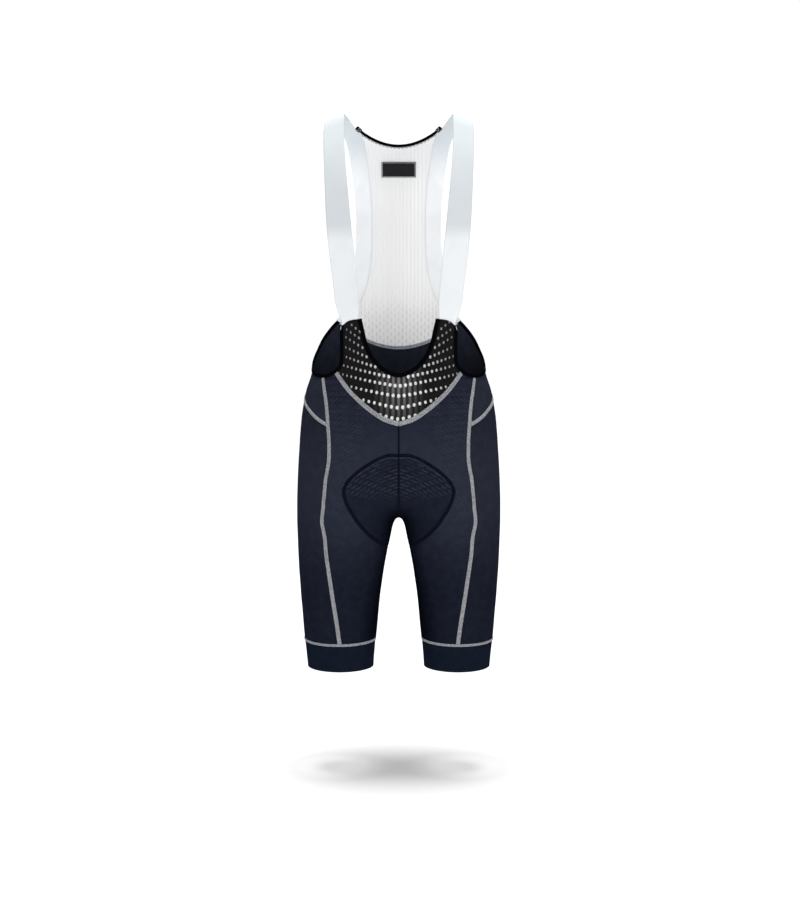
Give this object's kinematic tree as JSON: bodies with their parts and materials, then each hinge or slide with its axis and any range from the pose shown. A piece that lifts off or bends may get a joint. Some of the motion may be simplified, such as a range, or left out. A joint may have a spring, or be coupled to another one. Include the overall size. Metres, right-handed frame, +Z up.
{
  "type": "cycling bib shorts",
  "caption": "Stretch cycling shorts with a padded crotch, perforated high front, mesh back bib and flat elastic shoulder straps, filled out as when worn.",
  "frame": {"origin": "midway between the two straps, at the height where they rest on top of the shoulders", "axes": "+Z up along the wearer, +X to the wearer's left, the front faces -Y"},
  "size_m": [0.34, 0.2448, 0.9209],
  "materials": {
    "panel_knit": "matt stretch knit",
    "leg_band_knit": "smooth stretch band",
    "front_mesh": "perforated matt mesh",
    "front_lining": "fine white lining",
    "back_mesh": "ribbed white mesh",
    "strap_elastic": "smooth flat elastic",
    "binding": "folded elastic",
    "pad_cover": "brushed knit over foam",
    "tag_weave": "plain woven"
  },
  "bodies": {
    "root": {"front_panel_left": "panel_knit", "side_panel_left": "panel_knit", "leg_band_left": "leg_band_knit", "side_binding_left": "binding", "strap_left": "strap_elastic", "front_panel_right": "panel_knit", "side_panel_right": "panel_knit", "leg_band_right": "leg_band_knit", "side_binding_right": "binding", "strap_right": "strap_elastic", "back_yoke": "panel_knit", "front_mesh": "front_mesh", "front_lining": "front_lining", "front_neck_binding": "binding", "back_bib": "back_mesh", "back_neck_binding": "binding", "crotch_pad": "pad_cover", "bib_tag": "tag_weave"}
  },
  "joints": []
}
